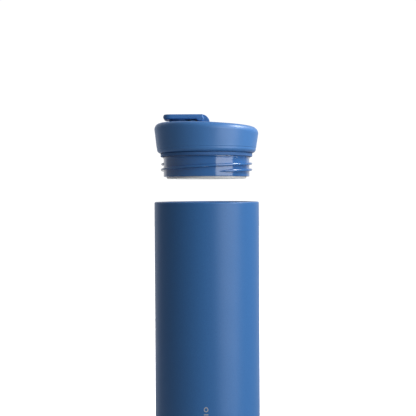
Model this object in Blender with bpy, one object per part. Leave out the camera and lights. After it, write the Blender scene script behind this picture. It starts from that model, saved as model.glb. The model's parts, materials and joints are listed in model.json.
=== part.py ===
"""Insulated water bottle with a screw lid and a flip drinking flap.

Metres, +Z up. The origin is the centre of the base, where the bottle stands. The lid is drawn
unscrewed and lifted clear of the mouth; turning it clockwise by LIFT_TURNS closes it.
"""
import math

import bmesh
import bpy
from mathutils import Matrix, Vector

MM = 0.001
FIT_GAP = 0.3 * MM          # clearance between pieces that touch on the real bottle

# Bottle
BODY_RADIUS = 36.5 * MM
RIM_Z = 200.0 * MM
SHEET = 0.5 * MM            # steel sheet of both walls
MOUTH_RADIUS = 32.4 * MM
RIM_ROUND = 1.5 * MM
BASE_ROUND = 3.0 * MM
SHELL_LOW_Z = 0.5 * MM      # the wall's turned-in edge hangs this far above the ground
FOOT_HEIGHT = 3.2 * MM
FOOT_RADIUS = 33.0 * MM
FOOT_HOLE_RADIUS = 12.0 * MM
FOOT_EDGE = 1.2 * MM
FOOT_HOLE_EDGE = 0.6 * MM
BASE_FLANGE_INSET = 1.4 * MM
LINER_FLOOR_Z = 9.0 * MM
LINER_CORNER = 8.0 * MM
LINER_LIP = 0.4 * MM

# Pieces in the evacuated space
EVACUATION_RADIUS = 1.2 * MM
SEAL_RADIUS = 4.0 * MM
SEAL_THICKNESS = 0.9 * MM
GETTER_X = 18.0 * MM
GETTER_RADIUS = 5.0 * MM
GETTER_HEIGHT = 1.6 * MM
HOLDER_HOLE_RADIUS = 1.5 * MM
HOLDER_RADIUS = 6.0 * MM
HOLDER_SHEET = 0.5 * MM
FOIL_OFF = 0.6 * MM         # distance of the foil from the liner
FOIL_THICKNESS = 0.3 * MM
FOIL_LOW_Z = 20.0 * MM
FOIL_HIGH_Z = 178.0 * MM

# Screw thread, two starts, right-handed
THREAD_STARTS = 2
THREAD_LEAD = 8.4 * MM
THREAD_ROOT = 1.7 * MM
THREAD_CREST = 0.9 * MM
THREAD_SINK = 0.3 * MM      # how far a ridge is rooted in its wall
LID_THREAD_TIP = 32.0 * MM
LID_THREAD_FROM = math.radians(287)
LID_THREAD_SWEEP = math.radians(265)
LID_THREAD_RISE = 3.2 * MM  # first ridge above the plug's lower edge
NECK_THREAD_TIP = 30.7 * MM
NECK_THREAD_LEAD_IN = math.radians(110)
NECK_THREAD_SWEEP = math.radians(330)
THREAD_TAPER = math.radians(14)
THREAD_STEP = math.radians(15)

# Lid, measured from the underside of its collar
LIFT_TURNS = 4
LIFT = LIFT_TURNS * THREAD_LEAD
COLLAR_Z = RIM_Z + FIT_GAP + LIFT
PLUG_DROP = 16.5 * MM
PLUG_RADIUS = 30.0 * MM
PLUG_WALL = 1.8 * MM
PLUG_TOP = 9.0 * MM
GASKET_RADIUS = 32.1 * MM
GASKET_LOW = -2.6 * MM
GASKET_HIGH = -0.5 * MM
GASKET_ROUND = 0.5 * MM
PLUG_EDGE = 0.5 * MM
SEAT_RADIUS = 30.6 * MM
SEAT_HEIGHT = 0.6 * MM
SEAT_CHAMFER = 0.3 * MM
FLANGE_LOW = 4.3 * MM
FLANGE_HIGH = 5.8 * MM
FLANGE_REACH = 0.4 * MM     # how far the flange goes past the collar's inner face
LEDGE_REACH = 0.7 * MM
COLLAR_LOW_RADIUS = 34.8 * MM
COLLAR_RADIUS = 36.3 * MM
COLLAR_WALL = 2.2 * MM
COLLAR_LIP_RADIUS = 32.4 * MM
COLLAR_UNDER_ROUND = 2.4 * MM
CREASE_Z = 3.5 * MM
CREASE_STEP = 0.25 * MM
CREASE_RISE = 0.3 * MM
SHOULDER_Z = 15.0 * MM
SHOULDER_ROUND = 4.5 * MM
SHOULDER_END = 0.98         # share of the rounding's height where the crowned top takes over
CROWN_Z = 21.3 * MM
TOP_SLOPE = math.tan(math.radians(2.5))  # the top rises towards the drinking side
CROWN_RADII = (24.0 * MM, 16.0 * MM, 8.0 * MM, 0.0)
LINER_PROUD = 1.3 * MM
RECESS_RADIUS = 20.0 * MM
RECESS_DEPTH = 2.2 * MM
RECESS_DRAFT = 1.5 * MM
LINER_ROOF = 1.2 * MM
LINER_EDGE = 1.0 * MM
ORING_GROOVE_HEIGHT = 1.8 * MM
ORING_GROOVE_DEPTH = 1.3 * MM
ORING_WEB = 0.3 * MM        # material of the disc under the groove
LINER_TOP_WEB = 0.9 * MM
LINER_WALL = 1.2 * MM
FOAM_TOP = 14.0 * MM
FOAM_LIFT = 1.4 * MM
FOAM_INSET = 0.5 * MM

# Flap, drinking hole and vent
SPOUT_X = -18.5 * MM
SPOUT_BORE = 6.0 * MM
SPOUT_WALL = 0.9 * MM
SPOUT_EDGE = 0.35 * MM
SPOUT_SUNK = 0.4 * MM       # the drinking tube ends this far below the lid's top
TUBE_RISE = 1.4 * MM        # both tubes start this far above the plug's lower edge
SPOUT_SEAL_Z = 14.3 * MM
SPOUT_SEAL_REACH = 2.0 * MM
SPOUT_SEAL_HEIGHT = 1.2 * MM
STOPPER_DEPTH = 2.4 * MM
STOPPER_TIP_RADIUS = 3.9 * MM
STOPPER_TIP_EDGE = (0.7 * MM, 0.5 * MM)
STOPPER_NECK = (5.2 * MM, 0.4 * MM)
STOPPER_FLANGE = (7.4 * MM, 0.7 * MM)
FLAP_FREE_X = -30.0 * MM
FLAP_ROOT_X = 2.4 * MM
FLAP_HALF_WIDTH = 10.4 * MM
FLAP_THICKNESS = 3.4 * MM
FLAP_TOP = 26.6 * MM
FLAP_EDGE = 0.6 * MM
FLAP_UNDER_END = 4.0 * MM   # the flat underside stops this far before the pin
KNUCKLE_FOOT = 1.8 * MM
PIN_X = -3.2 * MM
PIN_RADIUS = 0.8 * MM
PIN_Z = 23.4 * MM
PIN_HALF_LENGTH = 9.4 * MM
KNUCKLE_LOW = 1.7 * MM      # the flap's knuckles reach this far below the pin
EAR_INNER_Y = 5.0 * MM
EAR_OUTER_Y = 8.4 * MM
EAR_SINK = 1.2 * MM
RAMP_SINK = 0.4 * MM
FLAP_OPEN = math.radians(110)
SPRING_SIZE = (10.0 * MM, 6.0 * MM, 0.5 * MM)
SPRING_DROP = 1.2 * MM
SPRING_EDGE = 0.1 * MM
VENT_X = 17.0 * MM
VENT_BORE = 0.8 * MM
VENT_RADIUS = 2.3 * MM
VENT_PROUD = 0.2 * MM
VALVE_RISE = 0.6 * MM
TOP_CUT = (10.0 * MM, 30.0 * MM)  # heights between which holes are cut through the top

ROUND_STEPS = 48
STOPPER_STEPS = 24
SMALL_STEPS = 20
VENT_STEPS = 16
PIN_STEPS = 12
EDGE_STEPS = 3


def clear_scene():
    for item in list(bpy.data.objects):
        bpy.data.objects.remove(item, do_unlink=True)


def material(name, colour, roughness, metallic=0.0):
    """A Principled material from an sRGB colour."""
    made = bpy.data.materials.new(name)
    made.use_nodes = True
    shader = made.node_tree.nodes["Principled BSDF"]
    linear = [c / 12.92 if c <= 0.04045 else ((c + 0.055) / 1.055) ** 2.4 for c in colour]
    shader.inputs["Base Color"].default_value = (*linear, 1.0)
    shader.inputs["Roughness"].default_value = roughness
    shader.inputs["Metallic"].default_value = metallic
    return made


def finish_mesh(name, mesh_data, finish, origin=(0, 0, 0), parent=None):
    """Closes a bmesh into a named object whose origin is at the given world point."""
    bmesh.ops.remove_doubles(mesh_data, verts=mesh_data.verts, dist=1e-6)
    bmesh.ops.recalc_face_normals(mesh_data, faces=mesh_data.faces)
    bmesh.ops.translate(mesh_data, verts=mesh_data.verts, vec=-Vector(origin))
    mesh = bpy.data.meshes.new(name)
    mesh_data.to_mesh(mesh)
    mesh_data.free()
    mesh.shade_smooth()
    mesh.set_sharp_from_angle(angle=math.radians(35))
    mesh.materials.append(finish)
    item = bpy.data.objects.new(name, mesh)
    bpy.context.scene.collection.objects.link(item)
    item.location = origin
    if parent is not None:
        item.parent = parent
        item.matrix_parent_inverse = Matrix.Translation(-parent.location)
    return item


def arc(centre, radius, start, end, steps=EDGE_STEPS):
    """Points (r, z) on a round stretch of a profile, angles in degrees."""
    points = []
    for i in range(steps + 1):
        angle = math.radians(start + (end - start) * i / steps)
        points.append((centre[0] + radius * math.cos(angle), centre[1] + radius * math.sin(angle)))
    return points


def turned(profile, steps=ROUND_STEPS, centre=(0, 0)):
    """A closed (r, z) profile spun about a vertical axis."""
    mesh_data = bmesh.new()
    verts = [mesh_data.verts.new((centre[0] + r, centre[1], z)) for r, z in profile]
    edges = [mesh_data.edges.new((verts[i], verts[(i + 1) % len(verts)])) for i in range(len(verts))]
    on_axis = [e for e in edges if all(abs(v.co.x - centre[0]) < 1e-9 for v in e.verts)]
    bmesh.ops.delete(mesh_data, geom=on_axis, context="EDGES_FACES")
    bmesh.ops.spin(
        mesh_data, geom=list(mesh_data.verts) + list(mesh_data.edges),
        cent=(centre[0], centre[1], 0), axis=(0, 0, 1), angle=math.tau, steps=steps,
        use_merge=True,
    )
    return mesh_data


def ring(inner, outer, low, high, steps=ROUND_STEPS, centre=(0, 0)):
    """A plain ring or, with inner 0, a disc."""
    return turned([(inner, low), (outer, low), (outer, high), (inner, high)], steps, centre)


def bevelled_box(low, high, width):
    """A block between two corners with chamfered edges."""
    mesh_data = bmesh.new()
    bmesh.ops.create_cube(mesh_data, size=1.0)
    size = [h - l for l, h in zip(low, high)]
    centre = [(h + l) / 2 for l, h in zip(low, high)]
    bmesh.ops.scale(mesh_data, verts=mesh_data.verts, vec=size)
    bmesh.ops.translate(mesh_data, verts=mesh_data.verts, vec=centre)
    bmesh.ops.bevel(
        mesh_data, geom=list(mesh_data.edges), offset=width, segments=1,
        affect="EDGES", profile=0.5, material=-1,
    )
    return mesh_data


def extruded(outline, low_y, high_y):
    """An outline in the XZ plane pulled along Y."""
    mesh_data = bmesh.new()
    verts = [mesh_data.verts.new((x, low_y, z)) for x, z in outline]
    face = mesh_data.faces.new(verts)
    pulled = bmesh.ops.extrude_face_region(mesh_data, geom=[face])
    moved = [g for g in pulled["geom"] if isinstance(g, bmesh.types.BMVert)]
    bmesh.ops.translate(mesh_data, verts=moved, vec=(0, high_y - low_y, 0))
    return mesh_data


def thread_ridge(wall, tip, start, sweep, start_z):
    """One thread start: a tapered fin wound on a helix, rooted just inside its wall."""
    mesh_data = bmesh.new()
    outward = 1 if tip > wall else -1
    root = wall - outward * THREAD_SINK
    steps = round(sweep / THREAD_STEP)
    rows = []
    for i in range(steps + 1):
        turn = sweep * i / steps
        fade = min(1.0, turn / THREAD_TAPER, (sweep - turn) / THREAD_TAPER)
        crest = wall + (tip - wall) * max(fade, 0.05)
        centre_z = start_z + THREAD_LEAD * turn / math.tau
        half_root, half_crest = THREAD_ROOT / 2 * max(fade, 0.3), THREAD_CREST / 2 * max(fade, 0.3)
        angle = start + turn
        section = (
            (root, -half_root), (crest, -half_crest), (crest, half_crest), (root, half_root),
        )
        rows.append([
            mesh_data.verts.new((r * math.cos(angle), r * math.sin(angle), centre_z + z))
            for r, z in section
        ])
    for low, high in zip(rows, rows[1:]):
        for j in range(4):
            mesh_data.faces.new((low[j], low[(j + 1) % 4], high[(j + 1) % 4], high[j]))
    mesh_data.faces.new(rows[0])
    mesh_data.faces.new(list(reversed(rows[-1])))
    return mesh_data


def cutter(name, mesh_data):
    item = finish_mesh(name, mesh_data, CUT)
    item.hide_render = True
    item.display_type = "WIRE"
    return item


def combine(item, other, operation):
    """Adds a live Boolean of a hidden tool to a piece."""
    change = item.modifiers.new(f"{operation.title()}_{other.name}", "BOOLEAN")
    change.operation = operation
    change.object = other
    change.solver = "EXACT"


def empty(name, location, parent=None):
    item = bpy.data.objects.new(name, None)
    bpy.context.scene.collection.objects.link(item)
    item.location = location
    if parent is not None:
        item.parent = parent
        item.matrix_parent_inverse = Matrix.Translation(-parent.location)
    return item


# ---------------------------------------------------------------- bottle

def outer_shell():
    """Straight powder-coated wall, rolled in at the rim and turned under at the base."""
    wall = BODY_RADIUS - SHEET
    lip = MOUTH_RADIUS + SHEET + FIT_GAP
    inner_round = RIM_ROUND - SHEET
    foot = FOOT_RADIUS + 2 * FIT_GAP
    low = SHELL_LOW_Z
    profile = [(foot, low)]
    profile += arc((BODY_RADIUS - BASE_ROUND, low + BASE_ROUND), BASE_ROUND, -78, 0)
    profile += arc((BODY_RADIUS - RIM_ROUND, RIM_Z - RIM_ROUND), RIM_ROUND, 0, 90)
    profile += [(lip, RIM_Z), (lip, RIM_Z - SHEET)]
    profile += arc((BODY_RADIUS - RIM_ROUND, RIM_Z - RIM_ROUND), inner_round, 90, 0)
    profile += arc((BODY_RADIUS - BASE_ROUND, low + BASE_ROUND), BASE_ROUND - SHEET, 0, -70)
    profile += [(foot, low + SHEET)]
    finish_mesh("outer_shell", turned(profile), BLUE_COAT)


def inner_liner():
    """Steel drinking vessel with the thread that the lid screws into."""
    outside = MOUTH_RADIUS + SHEET
    corner = (outside - LINER_CORNER, LINER_FLOOR_Z - SHEET + LINER_CORNER)
    profile = [(0, LINER_FLOOR_Z - SHEET)]
    profile += arc(corner, LINER_CORNER, -90, 0)
    profile += [(outside, RIM_Z - LINER_LIP), (outside - SHEET / 2, RIM_Z)]
    profile += [(MOUTH_RADIUS, RIM_Z - LINER_LIP)]
    profile += arc(corner, LINER_CORNER - SHEET, 0, -90)
    liner = finish_mesh("inner_liner", turned(profile), STEEL)
    closed_start = RIM_Z + FIT_GAP - PLUG_DROP + LID_THREAD_RISE
    half_pitch = THREAD_LEAD / THREAD_STARTS / 2
    start_z = closed_start + half_pitch - THREAD_LEAD * NECK_THREAD_LEAD_IN / math.tau
    for i in range(THREAD_STARTS):
        start = LID_THREAD_FROM - NECK_THREAD_LEAD_IN + i * math.tau / THREAD_STARTS
        ridge = thread_ridge(MOUTH_RADIUS, NECK_THREAD_TIP, start, NECK_THREAD_SWEEP, start_z)
        combine(liner, cutter(f"neck_ridge_{i}", ridge), "UNION")


def base_plate():
    """Dished steel plate that closes the vacuum space, with the evacuation hole in its middle."""
    flange_z = SHELL_LOW_Z + SHEET + FIT_GAP
    top = FOOT_HEIGHT + FIT_GAP
    edge = BODY_RADIUS - SHEET - FIT_GAP - BASE_FLANGE_INSET
    pan = FOOT_RADIUS + FIT_GAP
    hole = EVACUATION_RADIUS
    profile = [
        (pan, flange_z), (edge, flange_z), (edge, flange_z + SHEET), (pan + SHEET, flange_z + SHEET),
        (pan + SHEET, top + SHEET), (hole, top + SHEET), (hole, top), (pan, top),
    ]
    finish_mesh("base_plate", turned(profile), STEEL)


def base_foot():
    """Silicone ring that the bottle stands on."""
    profile = [(FOOT_HOLE_RADIUS, FOOT_HOLE_EDGE), (FOOT_HOLE_RADIUS + FOOT_HOLE_EDGE, 0)]
    profile += [(FOOT_RADIUS - FOOT_EDGE, 0), (FOOT_RADIUS, FOOT_EDGE)]
    profile += [(FOOT_RADIUS, FOOT_HEIGHT), (FOOT_HOLE_RADIUS, FOOT_HEIGHT)]
    finish_mesh("base_foot", turned(profile), SILICONE_GREY)


def vacuum_parts():
    """Seal cap, getter with its holder, and copper foil, all shut in the double wall."""
    seal = ring(0, SEAL_RADIUS, FOOT_HEIGHT - SEAL_THICKNESS, FOOT_HEIGHT, SMALL_STEPS)
    finish_mesh("vacuum_seal", seal, STEEL)
    low = FOOT_HEIGHT + FIT_GAP + SHEET + FIT_GAP
    inner_wall = HOLDER_RADIUS - HOLDER_SHEET
    holder = turned(
        [
            (HOLDER_HOLE_RADIUS, low), (HOLDER_RADIUS, low), (HOLDER_RADIUS, low + GETTER_HEIGHT),
            (inner_wall, low + GETTER_HEIGHT), (inner_wall, low + HOLDER_SHEET),
            (HOLDER_HOLE_RADIUS, low + HOLDER_SHEET),
        ],
        SMALL_STEPS, (GETTER_X, 0),
    )
    finish_mesh("getter_holder", holder, STEEL)
    pellet_low = low + HOLDER_SHEET + FIT_GAP
    pellet = ring(
        0, GETTER_RADIUS, pellet_low, pellet_low + GETTER_HEIGHT, SMALL_STEPS, (GETTER_X, 0),
    )
    finish_mesh("getter", pellet, GETTER_GREY)
    inner = MOUTH_RADIUS + SHEET + FOIL_OFF
    foil = ring(inner, inner + FOIL_THICKNESS, FOIL_LOW_Z, FOIL_HIGH_Z)
    finish_mesh("copper_foil", foil, COPPER)


# ---------------------------------------------------------------- lid

def lid_dome_z(radius):
    """Height of the collar's crowned top above its underside, at a distance from the axis."""
    edge_z = SHOULDER_Z + SHOULDER_ROUND * SHOULDER_END
    edge_r = COLLAR_RADIUS - SHOULDER_ROUND
    return CROWN_Z - (CROWN_Z - edge_z) * (radius / edge_r) ** 2


def lid_top_z(x):
    """Height of the sloping top above the collar's underside, in the plane through the flap."""
    return lid_dome_z(abs(x)) - TOP_SLOPE * x


def slope_top(mesh_data):
    """Tilts everything from the shoulder up, so that the top rises towards the drinking side."""
    for vert in mesh_data.verts:
        if vert.co.z > COLLAR_Z + SHOULDER_Z - 0.1 * MM:
            vert.co.z -= TOP_SLOPE * vert.co.x
    return mesh_data


def collar_profile():
    """Outer and inner faces of the collar: a thin moulded cap, open below."""
    shoulder = (COLLAR_RADIUS - SHOULDER_ROUND, SHOULDER_Z)
    under = COLLAR_UNDER_ROUND
    step_radius = COLLAR_LOW_RADIUS - CREASE_STEP
    outside = [(COLLAR_LIP_RADIUS, 0)]
    outside += arc((step_radius - under, under), under, -75, 0)
    outside += [(step_radius, CREASE_Z), (COLLAR_LOW_RADIUS, CREASE_Z + CREASE_RISE)]
    outside += arc(shoulder, SHOULDER_ROUND, 0, 78, 5)
    outside += [(r, lid_dome_z(r)) for r in CROWN_RADII]
    inside = [(r, lid_dome_z(r) - COLLAR_WALL) for r in reversed(CROWN_RADII)]
    inside += arc(shoulder, SHOULDER_ROUND - COLLAR_WALL, 78, 0, 4)
    ledge = COLLAR_LOW_RADIUS - COLLAR_WALL + LEDGE_REACH
    inside += [(ledge, FLANGE_LOW - FIT_GAP), (COLLAR_LIP_RADIUS, FLANGE_LOW - FIT_GAP)]
    return [(r, z + COLLAR_Z) for r, z in outside + inside]


def tube_ways():
    """Name, place and clearance radius of the holes for the drinking tube and the vent tube."""
    return (
        ("spout", SPOUT_X, SPOUT_BORE + SPOUT_WALL + FIT_GAP),
        ("vent", VENT_X, VENT_RADIUS + FIT_GAP),
    )


def cut_ways(item, prefix, low, high):
    """Cuts the holes for both tubes through a piece."""
    for name, x, radius in tube_ways():
        hole = ring(0, radius, COLLAR_Z + low, COLLAR_Z + high, SMALL_STEPS, (x, 0))
        combine(item, cutter(f"{prefix}_{name}_way", hole), "DIFFERENCE")


def lid_collar(parent):
    """Satin collar with the drinking hole, the vent hole and the two ears of the flap's hinge."""
    cap = slope_top(turned(collar_profile()))
    collar = finish_mesh("lid_collar", cap, BLUE_SATIN, parent=parent)
    cut_ways(collar, "collar", *TOP_CUT)
    for side in (-1, 1):
        low_y, high_y = sorted((side * EAR_INNER_Y, side * EAR_OUTER_Y))
        ear = extruded(ear_outline(), low_y, high_y)
        combine(collar, cutter(f"hinge_ear_{'left' if side < 0 else 'right'}", ear), "UNION")
    bore = pin_cylinder(PIN_RADIUS + FIT_GAP, EAR_OUTER_Y + MM)
    combine(collar, cutter("pin_bore", bore), "DIFFERENCE")


def ramp(steps=6):
    """Quarter ellipse from the flap's top down to the lid's top."""
    reach = FLAP_ROOT_X - PIN_X
    foot_z = lid_top_z(FLAP_ROOT_X)
    points = []
    for i in range(steps + 1):
        angle = math.radians(90 - 84 * i / steps)
        points.append((
            PIN_X + reach * math.cos(angle),
            foot_z - RAMP_SINK + (FLAP_TOP - foot_z + RAMP_SINK) * math.sin(angle),
        ))
    return points


def ear_outline():
    """Side view of one fixed hinge ear: a ramp towards the lid's middle, round at the pin."""
    low = lid_dome_z(0) - EAR_SINK
    eye = arc((PIN_X, PIN_Z), FLAP_TOP - PIN_Z, 90, 180, 6)
    points = list(reversed(eye)) + ramp()[1:]
    points += [(FLAP_ROOT_X, low), (PIN_X - (FLAP_TOP - PIN_Z), low)]
    return [(x, z + COLLAR_Z) for x, z in points]


def pin_cylinder(radius, half_length):
    """A cylinder along the flap's hinge axis."""
    mesh_data = bmesh.new()
    bmesh.ops.create_cone(
        mesh_data, cap_ends=True, segments=PIN_STEPS, radius1=radius, radius2=radius,
        depth=2 * half_length,
    )
    bmesh.ops.rotate(mesh_data, verts=mesh_data.verts, matrix=Matrix.Rotation(math.pi / 2, 3, "X"))
    bmesh.ops.translate(mesh_data, verts=mesh_data.verts, vec=(PIN_X, 0, COLLAR_Z + PIN_Z))
    return mesh_data


def lid_plug(parent):
    """Glossy threaded plug, with a seat for the gasket and a flange that clips in the collar."""
    bottom = -PLUG_DROP
    inner = PLUG_RADIUS - PLUG_WALL
    seat_top = GASKET_LOW - FIT_GAP
    seat_low = seat_top - SEAT_HEIGHT
    flange = COLLAR_LOW_RADIUS - COLLAR_WALL + FLANGE_REACH
    profile = [
        (inner, bottom), (PLUG_RADIUS - PLUG_EDGE, bottom), (PLUG_RADIUS, bottom + PLUG_EDGE),
        (PLUG_RADIUS, seat_low - SEAT_CHAMFER), (SEAT_RADIUS, seat_low),
        (SEAT_RADIUS, seat_top), (PLUG_RADIUS, seat_top), (PLUG_RADIUS, FLANGE_LOW),
        (flange, FLANGE_LOW), (flange, FLANGE_HIGH), (PLUG_RADIUS, FLANGE_HIGH),
        (PLUG_RADIUS, PLUG_TOP), (inner, PLUG_TOP),
    ]
    plug = turned([(r, z + COLLAR_Z) for r, z in profile])
    plug = finish_mesh("lid_plug", plug, BLUE_GLOSS, parent=parent)
    for i in range(THREAD_STARTS):
        start = LID_THREAD_FROM + i * math.tau / THREAD_STARTS
        start_z = COLLAR_Z - PLUG_DROP + LID_THREAD_RISE
        ridge = thread_ridge(PLUG_RADIUS, LID_THREAD_TIP, start, LID_THREAD_SWEEP, start_z)
        combine(plug, cutter(f"lid_ridge_{i}", ridge), "UNION")


def rim_gasket(parent):
    """Silicone ring that seals the lid against the mouth."""
    inner, outer = PLUG_RADIUS + FIT_GAP, GASKET_RADIUS
    low, high = COLLAR_Z + GASKET_LOW, COLLAR_Z + GASKET_HIGH
    round_r = GASKET_ROUND
    profile = [(inner, low)] + arc((outer - round_r, low + round_r), round_r, -90, 0, 2)
    profile += arc((outer - round_r, high - round_r), round_r, 0, 90, 2) + [(inner, high)]
    finish_mesh("rim_gasket", turned(profile), SILICONE_BLUE, parent=parent)


def lid_inside(parent):
    """Pale liner disc under the lid with its seal, and the insulating foam above it."""
    inner = PLUG_RADIUS - PLUG_WALL - FIT_GAP
    face = -PLUG_DROP - LINER_PROUD
    recess_z = face + RECESS_DEPTH
    roof = recess_z + LINER_ROOF
    groove_low, groove_r = roof + ORING_WEB, inner - ORING_GROOVE_DEPTH
    groove_high = groove_low + ORING_GROOVE_HEIGHT
    top, wall = groove_high + LINER_TOP_WEB, groove_r - LINER_WALL
    edge, recess_edge = LINER_EDGE, 0.3 * MM
    profile = [
        (0, recess_z), (RECESS_RADIUS - RECESS_DRAFT, recess_z),
        (RECESS_RADIUS, face + recess_edge), (RECESS_RADIUS + 2 * recess_edge, face),
        (inner - edge, face), (inner, face + edge), (inner, groove_low), (groove_r, groove_low),
        (groove_r, groove_high), (inner, groove_high), (inner, top), (wall, top), (wall, roof),
        (0, roof),
    ]
    disc = turned([(r, z + COLLAR_Z) for r, z in profile])
    disc = finish_mesh("lid_liner", disc, PALE_PLASTIC, parent=parent)
    cut_ways(disc, "liner", face - MM, top + MM)
    seal = ring(
        groove_r + FIT_GAP, inner, COLLAR_Z + groove_low + FIT_GAP, COLLAR_Z + groove_high - FIT_GAP,
    )
    finish_mesh("liner_oring", seal, SILICONE_GREY, parent=parent)
    foam_low = groove_high + FOAM_LIFT
    foam = ring(0, inner - FOAM_INSET, COLLAR_Z + foam_low, COLLAR_Z + FOAM_TOP)
    foam = finish_mesh("lid_foam", foam, FOAM, parent=parent)
    cut_ways(foam, "foam", foam_low - MM, FOAM_TOP + MM)


def spout_and_vent(parent):
    """Drinking tube from the liner up through the collar, its seal, and the air vent."""
    outer = SPOUT_BORE + SPOUT_WALL
    low = COLLAR_Z - PLUG_DROP + TUBE_RISE
    high = COLLAR_Z + lid_top_z(SPOUT_X - outer) - SPOUT_SUNK
    edge = SPOUT_EDGE
    profile = [
        (SPOUT_BORE, low), (outer, low), (outer, high - edge), (outer - edge, high),
        (SPOUT_BORE + edge, high), (SPOUT_BORE, high - edge),
    ]
    tube = turned(profile, SMALL_STEPS, (SPOUT_X, 0))
    finish_mesh("spout_tube", tube, BLUE_GLOSS, parent=parent)
    seal_z = COLLAR_Z + SPOUT_SEAL_Z
    seal = ring(
        outer + FIT_GAP, outer + SPOUT_SEAL_REACH, seal_z, seal_z + SPOUT_SEAL_HEIGHT,
        SMALL_STEPS, (SPOUT_X, 0),
    )
    finish_mesh("spout_seal_ring", seal, SILICONE_GREY, parent=parent)
    top = COLLAR_Z + lid_top_z(VENT_X) + VENT_PROUD
    vent = ring(VENT_BORE, VENT_RADIUS, low, top, VENT_STEPS, (VENT_X, 0))
    finish_mesh("vent_tube", vent, BLUE_GLOSS, parent=parent)
    valve_low = COLLAR_Z - PLUG_DROP - LINER_PROUD + VALVE_RISE
    valve = ring(0, VENT_RADIUS, valve_low, low - FIT_GAP, VENT_STEPS, (VENT_X, 0))
    finish_mesh("vent_valve", valve, SILICONE_GREY, parent=parent)


def hinge_hardware(parent):
    """Steel pin through the ears, and the leaf spring that clicks the flap open and shut."""
    pin = pin_cylinder(PIN_RADIUS, PIN_HALF_LENGTH)
    finish_mesh("hinge_pin", pin, STEEL, parent=parent)
    length, width, thickness = SPRING_SIZE
    low_z = COLLAR_Z + lid_dome_z(0) - COLLAR_WALL - SPRING_DROP
    spring = bevelled_box(
        (PIN_X - length / 2, -width / 2, low_z),
        (PIN_X + length / 2, width / 2, low_z + thickness), SPRING_EDGE,
    )
    finish_mesh("detent_spring", spring, STEEL, parent=parent)


# ---------------------------------------------------------------- flap

def knuckle(steps=8):
    """Outline round the pin: it shrinks ahead of the pin, so that it clears the lid as it turns."""
    reach = FLAP_TOP - PIN_Z
    points = []
    for i in range(steps + 1):
        angle = math.radians(90 - 75 * i / steps)
        radius = min(reach, KNUCKLE_LOW / math.sin(min(FLAP_OPEN - angle, math.pi / 2)))
        points.append((PIN_X + radius * math.cos(angle), PIN_Z + radius * math.sin(angle)))
    return points + arc((PIN_X, PIN_Z), KNUCKLE_LOW, 0, -90, 4)


def flap_outline():
    """Side view of the flap: a rounded bar that ends in a knuckle on the pin."""
    half = FLAP_THICKNESS / 2
    nose = arc((FLAP_FREE_X + half, FLAP_TOP - half), half, 270, 90, 6)
    points = nose + knuckle() + [(PIN_X - KNUCKLE_FOOT, PIN_Z - KNUCKLE_LOW)]
    points += [(PIN_X - FLAP_UNDER_END, FLAP_TOP - FLAP_THICKNESS)]
    return [(x, z + COLLAR_Z) for x, z in points]


def flap(hinge):
    """Flip flap: a bar over the drinking hole, with slots that straddle the two ears."""
    blade = extruded(flap_outline(), -FLAP_HALF_WIDTH, FLAP_HALF_WIDTH)
    long_edges = [
        e for e in blade.edges
        if abs(abs(e.verts[0].co.y) - FLAP_HALF_WIDTH) < 1e-7
        and abs(e.verts[0].co.y - e.verts[1].co.y) < 1e-7
    ]
    bmesh.ops.bevel(
        blade, geom=long_edges, offset=FLAP_EDGE, segments=2, affect="EDGES", profile=0.5, material=-1,
    )
    item = finish_mesh("flap", blade, BLUE_SATIN, hinge.location, hinge)
    ear_reach = FLAP_TOP - PIN_Z + FIT_GAP + 0.1 * MM
    low_z, high_z = (COLLAR_Z + z for z in (10 * MM, 40 * MM))
    for side in (-1, 1):
        low_y, high_y = sorted((side * (EAR_INNER_Y - FIT_GAP), side * (EAR_OUTER_Y + FIT_GAP)))
        slot = bevelled_box(
            (PIN_X - ear_reach, low_y, low_z), (PIN_X + 10 * MM, high_y, high_z), 0.05 * MM,
        )
        combine(item, cutter(f"ear_slot_{'left' if side < 0 else 'right'}", slot), "DIFFERENCE")
    bore = pin_cylinder(PIN_RADIUS + FIT_GAP, PIN_HALF_LENGTH + FIT_GAP)
    combine(item, cutter("flap_pin_bore", bore), "DIFFERENCE")


def flap_stopper(hinge):
    """Silicone stopper that plugs the drinking hole, on a disc retained in the flap."""
    under = COLLAR_Z + FLAP_TOP - FLAP_THICKNESS - FIT_GAP
    rim = COLLAR_Z + lid_top_z(SPOUT_X)
    tip, low = STOPPER_TIP_RADIUS, rim - STOPPER_DEPTH
    tip_width, tip_height = STOPPER_TIP_EDGE
    neck_radius, neck_rise = STOPPER_NECK
    flange_radius, flange_rise = STOPPER_FLANGE
    profile = [
        (0, low), (tip - tip_width, low), (tip, low + tip_height), (neck_radius, rim + neck_rise),
        (flange_radius, rim + flange_rise), (flange_radius, under), (0, under),
    ]
    plug = turned(profile, STOPPER_STEPS, (SPOUT_X, 0))
    finish_mesh("stopper", plug, SILICONE_BLUE, hinge.location, hinge)


def build():
    clear_scene()
    outer_shell()
    inner_liner()
    base_plate()
    base_foot()
    vacuum_parts()
    lid_lift = empty("lid_axis", (0, 0, COLLAR_Z))
    rim_gasket(lid_lift)
    lid_collar(lid_lift)
    lid_plug(lid_lift)
    lid_inside(lid_lift)
    spout_and_vent(lid_lift)
    hinge_hardware(lid_lift)
    hinge = empty("flap_axis", (PIN_X, 0, COLLAR_Z + PIN_Z), lid_lift)
    flap(hinge)
    flap_stopper(hinge)


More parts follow.
